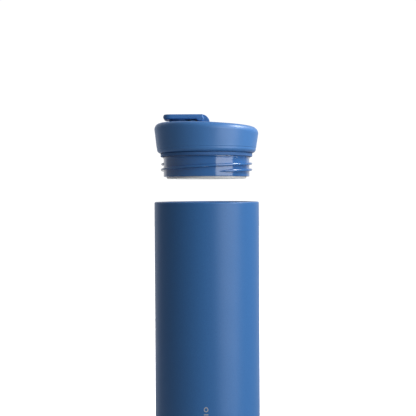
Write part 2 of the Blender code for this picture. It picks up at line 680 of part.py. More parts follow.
CUT = material("cutter", (1.0, 0.2, 0.2), 0.5)
BLUE_COAT = material("blue_powder_coat", (0.23, 0.40, 0.62), 0.55)
BLUE_SATIN = material("blue_satin_plastic", (0.25, 0.43, 0.67), 0.4)
BLUE_GLOSS = material("blue_gloss_plastic", (0.17, 0.36, 0.60), 0.15)
STEEL = material("stainless_steel", (0.75, 0.75, 0.76), 0.3, 1.0)
COPPER = material("copper", (0.85, 0.53, 0.38), 0.25, 1.0)
SILICONE_GREY = material("grey_silicone", (0.45, 0.46, 0.48), 0.6)
SILICONE_BLUE = material("blue_silicone", (0.16, 0.30, 0.50), 0.55)
PALE_PLASTIC = material("pale_polypropylene", (0.92, 0.92, 0.91), 0.35)
FOAM = material("insulating_foam", (0.93, 0.91, 0.84), 0.9)
GETTER_GREY = material("getter_metal", (0.35, 0.35, 0.36), 0.5, 1.0)

build()
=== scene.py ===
"""Insulated steel bottle with a screw lid: fine meshes, finishes, studio light and camera.

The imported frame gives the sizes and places. Metres, +Z up, the drinking side at -X and the
viewer at -Y. The lid is drawn unscrewed and lifted clear of the mouth.
"""
import json
import math

import bmesh
import bpy
from bpy.props import FloatProperty, FloatVectorProperty, IntProperty, PointerProperty
from mathutils import Matrix, Vector


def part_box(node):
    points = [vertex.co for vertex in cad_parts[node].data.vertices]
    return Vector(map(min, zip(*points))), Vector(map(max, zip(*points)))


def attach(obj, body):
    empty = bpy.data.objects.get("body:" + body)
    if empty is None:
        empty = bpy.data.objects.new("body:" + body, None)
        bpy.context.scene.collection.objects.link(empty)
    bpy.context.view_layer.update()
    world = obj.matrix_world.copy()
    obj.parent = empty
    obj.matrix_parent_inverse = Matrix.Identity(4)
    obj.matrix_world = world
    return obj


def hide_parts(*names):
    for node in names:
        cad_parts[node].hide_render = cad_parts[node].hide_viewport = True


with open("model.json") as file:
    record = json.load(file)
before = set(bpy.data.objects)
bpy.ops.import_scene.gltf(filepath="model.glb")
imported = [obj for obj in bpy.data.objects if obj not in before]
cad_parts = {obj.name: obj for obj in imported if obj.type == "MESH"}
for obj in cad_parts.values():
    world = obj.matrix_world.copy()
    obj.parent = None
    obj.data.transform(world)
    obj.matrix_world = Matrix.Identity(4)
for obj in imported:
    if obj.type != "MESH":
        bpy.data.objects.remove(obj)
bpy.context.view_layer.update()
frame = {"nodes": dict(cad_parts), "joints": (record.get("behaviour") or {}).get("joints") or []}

bl_info = {
    "name": "Insulated Bottle Builder",
    "version": (1, 0, 0),
    "blender": (4, 5, 0),
    "location": "View3D > Sidebar > Bottle",
    "description": "Builds the fine pieces and finishes of an insulated bottle round its frame",
    "category": "Add Mesh",
}

MM = 0.001

# Places that the frame gives
SHELL_LOW, SHELL_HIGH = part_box("outer_shell")
LINER_LOW, LINER_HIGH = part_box("inner_liner")
PLATE_LOW, PLATE_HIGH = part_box("base_plate")
FOOT_LOW, FOOT_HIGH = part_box("base_foot")
SEAL_LOW, SEAL_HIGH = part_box("vacuum_seal")
GASKET_LOW, GASKET_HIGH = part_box("rim_gasket")
COLLAR_LOW, COLLAR_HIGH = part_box("lid_collar")
PLUG_LOW, PLUG_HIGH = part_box("lid_plug")
DISC_LOW, DISC_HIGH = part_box("lid_liner")
SPOUT_LOW, SPOUT_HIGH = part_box("spout_tube")
VENT_LOW, VENT_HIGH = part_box("vent_tube")
VALVE_LOW, VALVE_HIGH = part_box("vent_valve")
FLAP_LOW, FLAP_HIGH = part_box("flap")
STOPPER_LOW, STOPPER_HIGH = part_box("stopper")
PIN_LOW, PIN_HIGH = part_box("hinge_pin")

GAP = 0.3 * MM                       # running clearance between pieces, as in the frame
PIN_X = (PIN_LOW.x + PIN_HIGH.x) / 2
PIN_Z = (PIN_LOW.z + PIN_HIGH.z) / 2
SPOUT_X = (SPOUT_LOW.x + SPOUT_HIGH.x) / 2
VENT_X = (VENT_LOW.x + VENT_HIGH.x) / 2
RIM_Z = SHELL_HIGH.z
LID_Z = COLLAR_LOW.z                 # underside of the collar, from which the lid is measured
SPOUT_WAY = (SPOUT_HIGH.x - SPOUT_LOW.x) / 2 + GAP     # radius of the hole for the drinking tube
VENT_WAY = (VENT_HIGH.x - VENT_LOW.x) / 2 + GAP        # radius of the hole for the air vent
PIN_RADIUS = (PIN_HIGH.x - PIN_LOW.x) / 2
EAR_Y = 6.7 * MM                     # middle of a hinge ear, from the middle of the lid

# Shared by the thread on the plug and the one in the neck
THREAD_STARTS = 2
THREAD_TURN = 287                    # degrees round the axis where the first ridge begins
THREAD_Z = 3.2 * MM                  # where a ridge begins above the plug's lower edge


def linear(code):
    """An sRGB hex colour as linear red, green, blue and alpha."""
    values = [int(code[i:i + 2], 16) / 255 for i in (1, 3, 5)]
    return (*(v / 12.92 if v <= 0.04045 else ((v + 0.055) / 1.055) ** 2.4 for v in values), 1.0)


# ---------------------------------------------------------------- settings

def length(name, description, default):
    return FloatProperty(
        name=name, description=description, default=default, unit="LENGTH", min=0.0,
    )


def colour(name, description, code):
    return FloatVectorProperty(
        name=name, description=description, default=linear(code), size=4, subtype="COLOR",
        min=0.0, max=1.0,
    )


class BottleSizes(bpy.types.PropertyGroup):
    sheet: length("Sheet", "Thickness of the steel of both walls", 0.5 * MM)
    mouth_radius: length("Mouth radius", "Inner radius of the drinking vessel", 32.4 * MM)
    rim_round: length("Rim rounding", "Radius of the rolled rim", 1.0 * MM)
    rim_roll: length("Rim roll", "How far the coated rim reaches down inside the mouth", 1.2 * MM)
    base_round: length("Base rounding", "Radius of the wall's lower corner", 3.0 * MM)
    thread_lead: length("Thread lead", "Rise of one thread start in one turn", 8.4 * MM)
    plug_radius: length("Plug radius", "Outer radius of the plug's wall", 30.0 * MM)
    thread_tip: length("Thread tip", "Radius of the lid's thread at its crest", 32.0 * MM)
    shoulder_z: length("Shoulder height", "Where the collar starts to round over", 15.0 * MM)
    shoulder_round: length("Shoulder rounding", "Radius of the collar's shoulder", 4.5 * MM)
    crown_z: length("Crown height", "Middle of the collar's top above its underside", 21.3 * MM)
    top_slope: FloatProperty(
        name="Top slope", description="How much the top rises towards the drinking side",
        default=math.radians(2.5), subtype="ANGLE",
    )
    flap_thickness: length("Flap thickness", "Thickness of the drinking flap", 3.4 * MM)
    flap_corner: length("Flap corner", "Radius of the flap's free corners from above", 6.0 * MM)
    turned_steps: IntProperty(
        name="Turned steps", description="Segments round a large turned piece", default=192,
        min=24,
    )


class BottleColours(bpy.types.PropertyGroup):
    coat: colour("Coat", "Powder coat of the outer wall", "#376ba5")
    coat_deep: colour("Coat shade", "Darker grains of the powder coat", "#31639c")
    satin: colour("Satin", "Satin plastic of the collar and the flap", "#4076b4")
    polished: colour("Polished", "Polished plastic of the threaded plug", "#2b66a6")
    seal: colour("Seal", "Blue silicone of the gasket and the stopper", "#2f5f98")
    steel: colour("Steel", "Bare stainless steel", "#c9cacb")
    pale: colour("Pale", "Natural polypropylene disc under the lid", "#eeeeec")
    foot: colour("Foot", "Grey silicone of the standing ring and the small seals", "#5d646d")
    mark: colour("Mark", "Laser-etched mark on the wall", "#b4b5b6")


# ---------------------------------------------------------------- meshes

def arc(centre, radius, start, end, steps=8):
    """Points (r, z) on a round stretch of an outline, angles in degrees."""
    return [
        (
            centre[0] + radius * math.cos(math.radians(start + (end - start) * i / steps)),
            centre[1] + radius * math.sin(math.radians(start + (end - start) * i / steps)),
        )
        for i in range(steps + 1)
    ]


def outline_edges(points, place):
    """A bmesh with one closed outline, each point placed by the given function."""
    mesh = bmesh.new()
    verts = [mesh.verts.new(place(a, b)) for a, b in points]
    for i, vert in enumerate(verts):
        mesh.edges.new((vert, verts[(i + 1) % len(verts)]))
    return mesh


def clean(mesh):
    bmesh.ops.remove_doubles(mesh, verts=mesh.verts, dist=0.5e-6)
    bmesh.ops.recalc_face_normals(mesh, faces=mesh.faces)
    return mesh


def turned(points, steps, centre=(0.0, 0.0)):
    """A closed (r, z) outline spun about a vertical axis, with closed poles."""
    mesh = outline_edges(points, lambda r, z: (centre[0] + r, centre[1], z))
    on_axis = [e for e in mesh.edges if all(abs(v.co.x - centre[0]) < 1e-9 for v in e.verts)]
    bmesh.ops.delete(mesh, geom=on_axis, context="EDGES_FACES")
    bmesh.ops.spin(
        mesh, geom=list(mesh.verts) + list(mesh.edges), cent=(centre[0], centre[1], 0),
        axis=(0, 0, 1), angle=math.tau, steps=steps, use_merge=True,
    )
    return clean(mesh)


def disc(inner, outer, low, high, steps, centre=(0.0, 0.0), edge=0.0):
    """A ring, or with inner 0 a disc, with its outer edges rounded."""
    points = [(inner, low)]
    if edge:
        points += arc((outer - edge, low + edge), edge, -90, 0, 4)
        points += arc((outer - edge, high - edge), edge, 0, 90, 4)
    else:
        points += [(outer, low), (outer, high)]
    return turned(points + [(inner, high)], steps, centre)


def extruded(points, low_y, high_y):
    """A closed (x, z) outline pulled along Y."""
    mesh = outline_edges(points, lambda x, z: (x, low_y, z))
    face = bmesh.ops.contextual_create(mesh, geom=list(mesh.edges))["faces"][0]
    pulled = bmesh.ops.extrude_face_region(mesh, geom=[face])
    moved = [g for g in pulled["geom"] if isinstance(g, bmesh.types.BMVert)]
    bmesh.ops.translate(mesh, verts=moved, vec=(0, high_y - low_y, 0))
    return clean(mesh)


def round_long_edges(mesh, half_width, radius, segments=5):
    """Rounds the edges where an extruded piece's sides meet its run."""
    rims = [
        e for e in mesh.edges
        if all(abs(abs(v.co.y) - half_width) < 1e-7 for v in e.verts)
        and e.verts[0].co.y * e.verts[1].co.y > 0
        and any(abs(f.normal.y) < 0.5 for f in e.link_faces)
    ]
    bmesh.ops.bevel(
        mesh, geom=rims, offset=radius, segments=segments, affect="EDGES", profile=0.5, material=-1,
    )
    return clean(mesh)


def thread(wall, tip, start, sweep, start_z, lead, steps):
    """One thread start: a rounded fin wound on a helix, drawn out to a point at both ends.

    Its sections fall on the facets of a wall that has the same steps round it, so that the
    join leaves the wall's shading even.
    """
    step = math.tau / steps
    start, count = step * round(start / step), round(sweep / step)
    sweep = step * count
    outward = 1 if tip > wall else -1
    tall = abs(tip - wall)
    root_half, crest_half, crest_round, sunk = 1.1 * MM, 0.82 * MM, 0.7 * MM, 0.35 * MM
    half = [(-sunk, root_half), (0.0, root_half)]
    half += arc((tall - crest_round, crest_half - crest_round), crest_round, 90, 0, 6)
    section = [(wall + outward * r, -w) for r, w in half]
    section += [(wall + outward * r, w) for r, w in reversed(half)]
    mesh = outline_edges(section, lambda r, z: (r, 0, z))
    face = bmesh.ops.contextual_create(mesh, geom=list(mesh.edges))["faces"][0]
    bmesh.ops.spin(
        mesh, geom=[face, *face.edges, *face.verts], cent=(0, 0, 0), axis=(0, 0, 1),
        dvec=(0, 0, lead / steps), angle=sweep, steps=count,
    )
    fade_length, thinnest = math.radians(16), 0.04
    root = wall - outward * sunk
    for vert in mesh.verts:
        turn = math.atan2(vert.co.y, vert.co.x) % math.tau
        if turn > sweep + step:
            turn = 0.0
        fade = math.sqrt(max(thinnest, min(1.0, turn / fade_length, (sweep - turn) / fade_length)))
        middle = lead * turn / math.tau
        radius = root + (vert.co.xy.length - root) * fade
        vert.co.z = middle + (vert.co.z - middle) * fade
        vert.co.xy = vert.co.xy.normalized() * radius
    bmesh.ops.rotate(mesh, verts=mesh.verts, matrix=Matrix.Rotation(start, 3, "Z"))
    bmesh.ops.translate(mesh, verts=mesh.verts, vec=(0, 0, start_z))
    return clean(mesh)


def rod(radius, half_length, x, z, steps=32, edge=0.0):
    """A pin across the lid, with its end edges rounded."""
    mesh = bmesh.new()
    bmesh.ops.create_cone(
        mesh, cap_ends=True, segments=steps, radius1=radius, radius2=radius, depth=2 * half_length,
    )
    if edge:
        rims = [e for e in mesh.edges if abs(e.verts[0].co.z - e.verts[1].co.z) < 1e-9]
        bmesh.ops.bevel(
            mesh, geom=rims, offset=edge, segments=3, affect="EDGES", profile=0.5, material=-1,
        )
    bmesh.ops.rotate(mesh, verts=mesh.verts, matrix=Matrix.Rotation(math.pi / 2, 3, "X"))
    bmesh.ops.translate(mesh, verts=mesh.verts, vec=(x, 0, z))
    return clean(mesh)


def block(low, high):
    mesh = bmesh.new()
    bmesh.ops.create_cube(mesh, size=1.0)
    bmesh.ops.scale(mesh, verts=mesh.verts, vec=[b - a for a, b in zip(low, high)])
    bmesh.ops.translate(mesh, verts=mesh.verts, vec=[(a + b) / 2 for a, b in zip(low, high)])
    return mesh


def to_mesh(mesh, name):
    data = bpy.data.meshes.new(name)
    mesh.to_mesh(data)
    mesh.free()
    return data


def combined(mesh, tools):
    """Adds to or cuts from a closed mesh: tools are (operation, mesh) pairs."""
    body = bpy.data.objects.new("work", to_mesh(mesh, "work"))
    bpy.context.scene.collection.objects.link(body)
    helpers = []
    for operation, tool in tools:
        helper = bpy.data.objects.new("tool", to_mesh(tool, "tool"))
        bpy.context.scene.collection.objects.link(helper)
        helpers.append(helper)
        change = body.modifiers.new("change", "BOOLEAN")
        change.operation = operation
        change.object = helper
        change.solver = "EXACT"
    evaluated = body.evaluated_get(bpy.context.evaluated_depsgraph_get())
    result = bmesh.new()
    result.from_mesh(evaluated.to_mesh())
    for item in (body, *helpers):
        data = item.data
        bpy.data.objects.remove(item)
        bpy.data.meshes.remove(data)
    bmesh.ops.remove_doubles(result, verts=result.verts, dist=0.5e-6)
    return result


def piece(name, mesh, finish, body, slot, *nodes, sharp=40):
    """A finished piece at the origin that rides on its body and stands for CAD nodes."""
    data = to_mesh(mesh, name)
    data.shade_smooth()
    data.set_sharp_from_angle(angle=math.radians(sharp))
    data.materials.clear()
    data.materials.append(finish)
    item = bpy.data.objects.new(name, data)
    bpy.context.scene.collection.objects.link(item)
    even = item.modifiers.new("even_normals", "WEIGHTED_NORMAL")
    even.keep_sharp = True
    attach(item, body)
    if nodes:
        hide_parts(*nodes)
    return item


# ---------------------------------------------------------------- finishes

NOISE, RANGE, MIX, BUMP = (
    "ShaderNodeTexNoise", "ShaderNodeMapRange", "ShaderNodeMix", "ShaderNodeBump",
)
RGBA = {"data_type": "RGBA"}
MIDDLE = {"From Min": 0.3, "From Max": 0.7}      # the range in which most of a noise falls


def feed(tree, node, inputs):
    """Links or sets a node's inputs."""
    for socket, value in inputs.items():
        if isinstance(value, bpy.types.NodeSocket):
            tree.links.new(value, node.inputs[socket])
        else:
            node.inputs[socket].default_value = value


def add(tree, kind, settings=None, inputs=None):
    """Adds one node with its settings and links, and returns its outputs."""
    node = tree.nodes.new(kind)
    for name, value in (settings or {}).items():
        setattr(node, name, value)
    feed(tree, node, inputs or {})
    return node.outputs


def new_finish(name):
    """A material; returns it with its tree, its shader and its Object coordinates."""
    made = bpy.data.materials.get(name)
    if made:
        bpy.data.materials.remove(made)
    made = bpy.data.materials.new(name)
    made.use_nodes = True
    tree = made.node_tree
    place = add(tree, "ShaderNodeTexCoord")["Object"]
    return made, tree, tree.nodes["Principled BSDF"], place


def scaled(tint, factor, lift=0.0):
    """A colour made darker or paler by a factor."""
    return tuple(min(1.0, factor * c + lift) for c in tint[:3]) + (1.0,)


def powder_coat(colours):
    """Baked polyester powder coat: a dry, fine-grained matte with a broad soft highlight."""
    made, tree, shader, place = new_finish("powder_coat_blue")
    # The film's thickness changes over 14 mm, and its gloss with it.
    cloud = add(tree, NOISE, None, {"Vector": place, "Scale": 1 / (14 * MM), "Detail": 3})["Fac"]
    # Real grains are 0.1 mm across and would not show, so they are drawn at 0.55 mm.
    grain = add(tree, NOISE, None, {
        "Vector": place, "Scale": 1 / (0.55 * MM), "Detail": 3, "Roughness": 0.6,
    })["Fac"]
    # Orange peel, 1.8 mm from crest to crest.
    peel = add(tree, NOISE, None, {"Vector": place, "Scale": 1 / (1.8 * MM), "Detail": 1})["Fac"]
    shade = add(tree, RANGE, None, {"Value": grain, **MIDDLE, "To Min": 0.0, "To Max": 1.0})
    tint = add(tree, MIX, RGBA, {
        0: shade["Result"], 6: tuple(colours.coat), 7: tuple(colours.coat_deep),
    })
    gloss = add(tree, RANGE, None, {"Value": cloud, **MIDDLE, "To Min": 0.37, "To Max": 0.41})
    soft = add(tree, BUMP, None, {"Height": peel, "Distance": 0.03 * MM, "Strength": 0.35})
    dry = add(tree, BUMP, None, {
        "Height": grain, "Distance": 0.03 * MM, "Strength": 0.5, "Normal": soft["Normal"],
    })
    feed(tree, shader, {
        "Base Color": tint[2], "Roughness": gloss["Result"], "Normal": dry["Normal"],
        "Specular IOR Level": 0.32, "IOR": 1.5,
    })
    return made


def moulded(name, tint, roughness, grain, depth, coat=0.0):
    """Injection-moulded polypropylene: even colour, with the mould's own texture in its gloss."""
    made, tree, shader, place = new_finish(name)
    # Flow marks of the melt, 9 mm across.
    flow = add(tree, NOISE, None, {"Vector": place, "Scale": 1 / (9 * MM)})["Fac"]
    # The mould's texture is 0.1 mm fine on a satin face, and is drawn as coarse as it shows.
    texture = add(tree, NOISE, None, {"Vector": place, "Scale": 1 / grain})["Fac"]
    shade = add(tree, MIX, RGBA, {0: flow, 6: tint, 7: scaled(tint, 0.93)})
    gloss = add(tree, RANGE, None, {
        "Value": flow, **MIDDLE, "To Min": 0.93 * roughness, "To Max": 1.07 * roughness,
    })
    relief = add(tree, BUMP, None, {"Height": texture, "Distance": depth, "Strength": 0.3})
    feed(tree, shader, {
        "Base Color": shade[2], "Roughness": gloss["Result"], "Normal": relief["Normal"],
        "IOR": 1.49, "Coat Weight": coat, "Coat Roughness": 0.04,
    })
    return made


def silicone(name, tint):
    """Cured silicone rubber: soft matte, a little dusty, with a faint sheen at grazing angles."""
    made, tree, shader, place = new_finish(name)
    # Dust lies in spots about 2.2 mm across.
    dust = add(tree, NOISE, None, {"Vector": place, "Scale": 1 / (2.2 * MM), "Detail": 4})["Fac"]
    # The skin's texture is 0.1 mm fine, and is drawn at 0.6 mm so that it shows.
    skin = add(tree, NOISE, None, {"Vector": place, "Scale": 1 / (0.6 * MM)})["Fac"]
    shade = add(tree, MIX, RGBA, {0: dust, 6: tint, 7: scaled(tint, 1.18, 0.01)})
    gloss = add(tree, RANGE, None, {"Value": dust, **MIDDLE, "To Min": 0.55, "To Max": 0.68})
    relief = add(tree, BUMP, None, {"Height": skin, "Distance": 0.02 * MM, "Strength": 0.3})
    feed(tree, shader, {
        "Base Color": shade[2], "Roughness": gloss["Result"], "Normal": relief["Normal"],
        "IOR": 1.43, "Sheen Weight": 0.15,
    })
    return made


def turned_steel(name, tint, roughness, line, groove=0.3):
    """Stainless steel finished on a lathe: fine lines run round the axis and stretch its gloss."""
    made, tree, shader, place = new_finish(name)
    around = add(tree, "ShaderNodeMapping", None, {"Vector": place, "Scale": (0.02, 0.02, 1.0)})
    # A tool leaves lines about 0.1 mm apart, which are drawn wider so that they show.
    lines = add(tree, NOISE, None, {
        "Vector": around["Vector"], "Scale": 1 / line, "Detail": 3, "Roughness": 0.7,
    })["Fac"]
    # Stains from washing, 18 mm across.
    stain = add(tree, NOISE, None, {"Vector": place, "Scale": 1 / (18 * MM), "Detail": 3})["Fac"]
    shade = add(tree, MIX, RGBA, {0: lines, 6: tint, 7: scaled(tint, 0.82)})
    uneven = add(
        tree, "ShaderNodeMath", {"operation": "MULTIPLY_ADD"}, {0: lines, 1: 0.6, 2: stain},
    )
    gloss = add(tree, RANGE, None, {
        "Value": uneven["Value"], "From Min": 0.55, "From Max": 1.05,
        "To Min": 0.75 * roughness, "To Max": 1.3 * roughness,
    })
    relief = add(tree, BUMP, None, {"Height": lines, "Distance": 0.01 * MM, "Strength": groove})
    feed(tree, shader, {
        "Base Color": shade[2], "Roughness": gloss["Result"], "Normal": relief["Normal"],
        "Metallic": 1.0,
    })
    return made


def natural_polypropylene(tint):
    """Undyed polypropylene: milky white, slightly see-through at its edges, softly glossy."""
    made, tree, shader, place = new_finish("natural_polypropylene")
    # Flow marks of the melt, 12 mm across, and the faint ripple of a moulded face, 1.5 mm.
    flow = add(tree, NOISE, None, {"Vector": place, "Scale": 1 / (12 * MM)})["Fac"]
    ripple = add(tree, NOISE, None, {"Vector": place, "Scale": 1 / (1.5 * MM)})["Fac"]
    gloss = add(tree, RANGE, None, {"Value": flow, **MIDDLE, "To Min": 0.27, "To Max": 0.38})
    relief = add(tree, BUMP, None, {"Height": ripple, "Distance": 0.02 * MM, "Strength": 0.2})
    shade = add(tree, MIX, RGBA, {0: flow, 6: tint, 7: scaled(tint, 0.95)})
    feed(tree, shader, {
        "Base Color": shade[2], "Roughness": gloss["Result"], "Normal": relief["Normal"],
        "IOR": 1.49, "Subsurface Weight": 0.2, "Subsurface Radius": (0.002, 0.002, 0.002),
        "Subsurface Scale": 0.6,
    })
    return made


def etched_steel(tint):
    """Laser-etched mark: the coat is burnt off down to dull grey steel."""
    made, tree, shader, place = new_finish("laser_etched_steel")
    # The laser's passes are 0.05 mm apart and would not show, so they are drawn at 0.4 mm.
    passes = add(tree, NOISE, None, {"Vector": place, "Scale": 1 / (0.4 * MM)})["Fac"]
    shade = add(tree, MIX, RGBA, {0: passes, 6: tint, 7: scaled(tint, 0.75)})
    gloss = add(tree, RANGE, None, {"Value": passes, **MIDDLE, "To Min": 0.45, "To Max": 0.65})
    feed(tree, shader, {
        "Base Color": shade[2], "Roughness": gloss["Result"], "Metallic": 0.3,
    })
    return made


def inner_finish(name, code, roughness, metallic, grain):
    """Finish of a piece that is shut inside: its own colour with an uneven grain."""
    made, tree, shader, place = new_finish(name)
    tint = linear(code)
    cells = add(tree, NOISE, None, {"Vector": place, "Scale": 1 / grain, "Detail": 3})["Fac"]
    shade = add(tree, MIX, RGBA, {0: cells, 6: tint, 7: scaled(tint, 0.78)})
    relief = add(tree, BUMP, None, {"Height": cells, "Distance": 0.2 * grain, "Strength": 0.3})
    feed(tree, shader, {
        "Base Color": shade[2], "Normal": relief["Normal"], "Roughness": roughness,
        "Metallic": metallic,
    })
    return made


# ---------------------------------------------------------------- operators

class BOTTLE_OT_wall(bpy.types.Operator):
    """Builds the powder-coated outer wall and its etched mark"""
    bl_idname = "bottle.wall"
    bl_label = "Outer Wall"
    bl_options = {"REGISTER", "UNDO"}

    def execute(self, context):
        sizes, colours = context.scene.bottle_sizes, context.scene.bottle_colours
        radius, rim, low = SHELL_HIGH.x, SHELL_HIGH.z, SHELL_LOW.z
        sheet, rim_round, base_round = sizes.sheet, sizes.rim_round, sizes.base_round
        lip, lip_round, roll = sizes.mouth_radius, 0.5 * MM, sizes.rim_roll
        foot = FOOT_HIGH.x + 2 * GAP
        rim_centre = (radius - rim_round, rim - rim_round)
        base_centre = (radius - base_round, low + base_round)
        # The lower corner stops short of level, where the standing ring begins.
        points = [(foot, low), *arc(base_centre, base_round, -84, 0, 10)]
        points += arc(rim_centre, rim_round, 0, 90, 10)
        points += arc((lip + lip_round, rim - lip_round), lip_round, 90, 180, 6)
        points += [(lip, rim - roll), (radius - rim_round, rim - roll)]
        points += [(radius - sheet, rim - roll - rim_round)]
        points += arc(base_centre, base_round - sheet, 0, -76, 6)
        points += [(foot, low + sheet)]
        coat = powder_coat(colours)
        wall = turned(points, sizes.turned_steps)
        piece("outer_wall", wall, coat, "bottle", "blue_coat", "outer_shell")
        self.mark(radius, colours)
        return {"FINISHED"}

    def mark(self, radius, colours):
        """A drop drawn as an outline above a column of short level lines."""
        finish = etched_steel(tuple(colours.mark))
        middle, top, proud = -1.0 * MM, RIM_Z - 133.7 * MM, 0.02 * MM
        half, stroke, steps, stretch = 1.5 * MM, 0.55 * MM, 40, 1.3
        drop = bmesh.new()
        rings = []
        for reach in (half, half - stroke):
            ring = bmesh.ops.create_circle(drop, segments=steps, radius=reach)["verts"]
            for vert in ring:
                up = vert.co.y / reach
                if up >= 0:
                    vert.co.x *= max(0.0, 1 - up) ** 0.35 * (1 + 0.35 * up)
                    vert.co.y *= stretch
                vert.co = (middle + vert.co.x, 0, top - stretch * half + vert.co.y)
            rings += [e for e in drop.edges if e.verts[0] in ring]
        bmesh.ops.bridge_loops(drop, edges=rings)
        self.raise_and_wrap(drop, radius, proud)
        piece("mark_drop", drop, finish, "bottle", "steel")
        first, pitch, tall = 5.2 * MM, 1.7 * MM, 0.7 * MM
        for i, width in enumerate((2.9, 1.9, 2.4, 1.9, 2.9, 1.9, 2.4)):
            bar = bmesh.new()
            bmesh.ops.create_grid(bar, x_segments=10, y_segments=2, size=0.5)
            for vert in bar.verts:
                vert.co = (
                    middle + width * MM * vert.co.x, 0,
                    top - first - pitch * i + tall * vert.co.y,
                )
            self.raise_and_wrap(bar, radius, proud)
            piece(f"mark_line_{i + 1}", bar, finish, "bottle", "steel")

    def raise_and_wrap(self, mesh, radius, proud):
        """Gives a flat mark its thickness and bends it round the wall."""
        faces = list(mesh.faces)
        grown = bmesh.ops.extrude_face_region(mesh, geom=faces)
        outer = [g for g in grown["geom"] if isinstance(g, bmesh.types.BMVert)]
        bmesh.ops.translate(mesh, verts=outer, vec=(0, -2 * proud, 0))
        for vert in mesh.verts:
            reach, turn = radius - proud - vert.co.y, vert.co.x / radius
            vert.co = (reach * math.sin(turn), -reach * math.cos(turn), vert.co.z)
        clean(mesh)


class BOTTLE_OT_vessel(bpy.types.Operator):
    """Builds the steel drinking vessel with the thread inside its neck"""
    bl_idname = "bottle.vessel"
    bl_label = "Drinking Vessel"
    bl_options = {"REGISTER", "UNDO"}

    def execute(self, context):
        sizes, colours = context.scene.bottle_sizes, context.scene.bottle_colours
        inner, sheet, under_roll = sizes.mouth_radius, sizes.sheet, 0.1 * MM
        rim = LINER_HIGH.z - sizes.rim_roll - under_roll
        outer, low, corner = inner + sheet, LINER_LOW.z, 8.0 * MM
        centre = (outer - corner, low + corner)
        lip = sheet / 2
        points = [(0, low), *arc(centre, corner, -90, 0, 16)]
        points += arc((inner + lip, rim - lip), lip, 0, 180, 8)
        points += [*arc(centre, corner - sheet, 0, -90, 16), (0, low + sheet)]
        # With the lid home, these ridges lie midway between the plug's own.
        closed_z = RIM_Z + GAP - (LID_Z - PLUG_LOW.z) + THREAD_Z
        lead_in, sweep, ridge = math.radians(110), math.radians(330), 1.7 * MM
        start_z = closed_z + sizes.thread_lead / 4 - sizes.thread_lead * lead_in / math.tau
        ridges = [
            ("UNION", thread(
                inner, inner - ridge, math.radians(THREAD_TURN + 360 / THREAD_STARTS * i) - lead_in,
                sweep, start_z, sizes.thread_lead, sizes.turned_steps,
            ))
            for i in range(THREAD_STARTS)
        ]
        vessel = combined(turned(points, sizes.turned_steps), ridges)
        steel = turned_steel("polished_stainless", tuple(colours.steel), 0.3, 0.9 * MM, 0.2)
        piece("drinking_vessel", vessel, steel, "bottle", "steel", "inner_liner")
        return {"FINISHED"}


class BOTTLE_OT_base(bpy.types.Operator):
    """Builds the base plate, its seal cap and the silicone standing ring"""
    bl_idname = "bottle.base"
    bl_label = "Base"
    bl_options = {"REGISTER", "UNDO"}

    def execute(self, context):
        sizes, colours = context.scene.bottle_sizes, context.scene.bottle_colours
        steel = turned_steel("turned_stainless_base", tuple(colours.steel), 0.36, 0.5 * MM)
        sheet, low, high, edge = sizes.sheet, PLATE_LOW.z, PLATE_HIGH.z, PLATE_HIGH.x
        pan, hole, bend = FOOT_HIGH.x + GAP, 1.2 * MM, 0.2 * MM
        points = [(pan, low), *arc((edge - bend, low + bend), bend, -90, 0, 3)]
        points += [(edge, low + sheet), (pan + sheet, low + sheet)]
        points += arc((pan, high - sheet), sheet, 0, 90, 5)
        points += [(hole, high), (hole, high - sheet)]
        points += [(pan - bend, high - sheet), (pan, high - sheet - bend)]
        plate = turned(points, sizes.turned_steps)
        piece("base_pan", plate, steel, "bottle", "steel", "base_plate")
        cap = disc(0, SEAL_HIGH.x, SEAL_LOW.z, SEAL_HIGH.z, 48, edge=0.3 * MM)
        piece("seal_cap", cap, steel, "bottle", "steel", "vacuum_seal")
        self.foot(sizes, colours)
        return {"FINISHED"}

    def foot(self, sizes, colours):
        """A flat ring with rounded edges and grip grooves in the face it stands on."""
        inner, outer, low, high = 12.0 * MM, FOOT_HIGH.x, FOOT_LOW.z, FOOT_HIGH.z
        edge, inner_edge, groove, pitch = 1.2 * MM, 0.8 * MM, 0.35 * MM, 3.4 * MM
        points = [(inner, high)]
        points += arc((inner + inner_edge, low + inner_edge), inner_edge, 180, 270, 5)
        first = inner + 3 * MM
        for i in range(int((outer - edge - first) / pitch)):
            points += arc((first + pitch * i, low), groove, 180, 0, 6)
        points += [*arc((outer - edge, low + edge), edge, -90, 0, 8), (outer, high)]
        finish = silicone("grey_silicone", tuple(colours.foot))
        foot = turned(points, sizes.turned_steps)
        piece("standing_ring", foot, finish, "bottle", "grey_silicone", "base_foot")


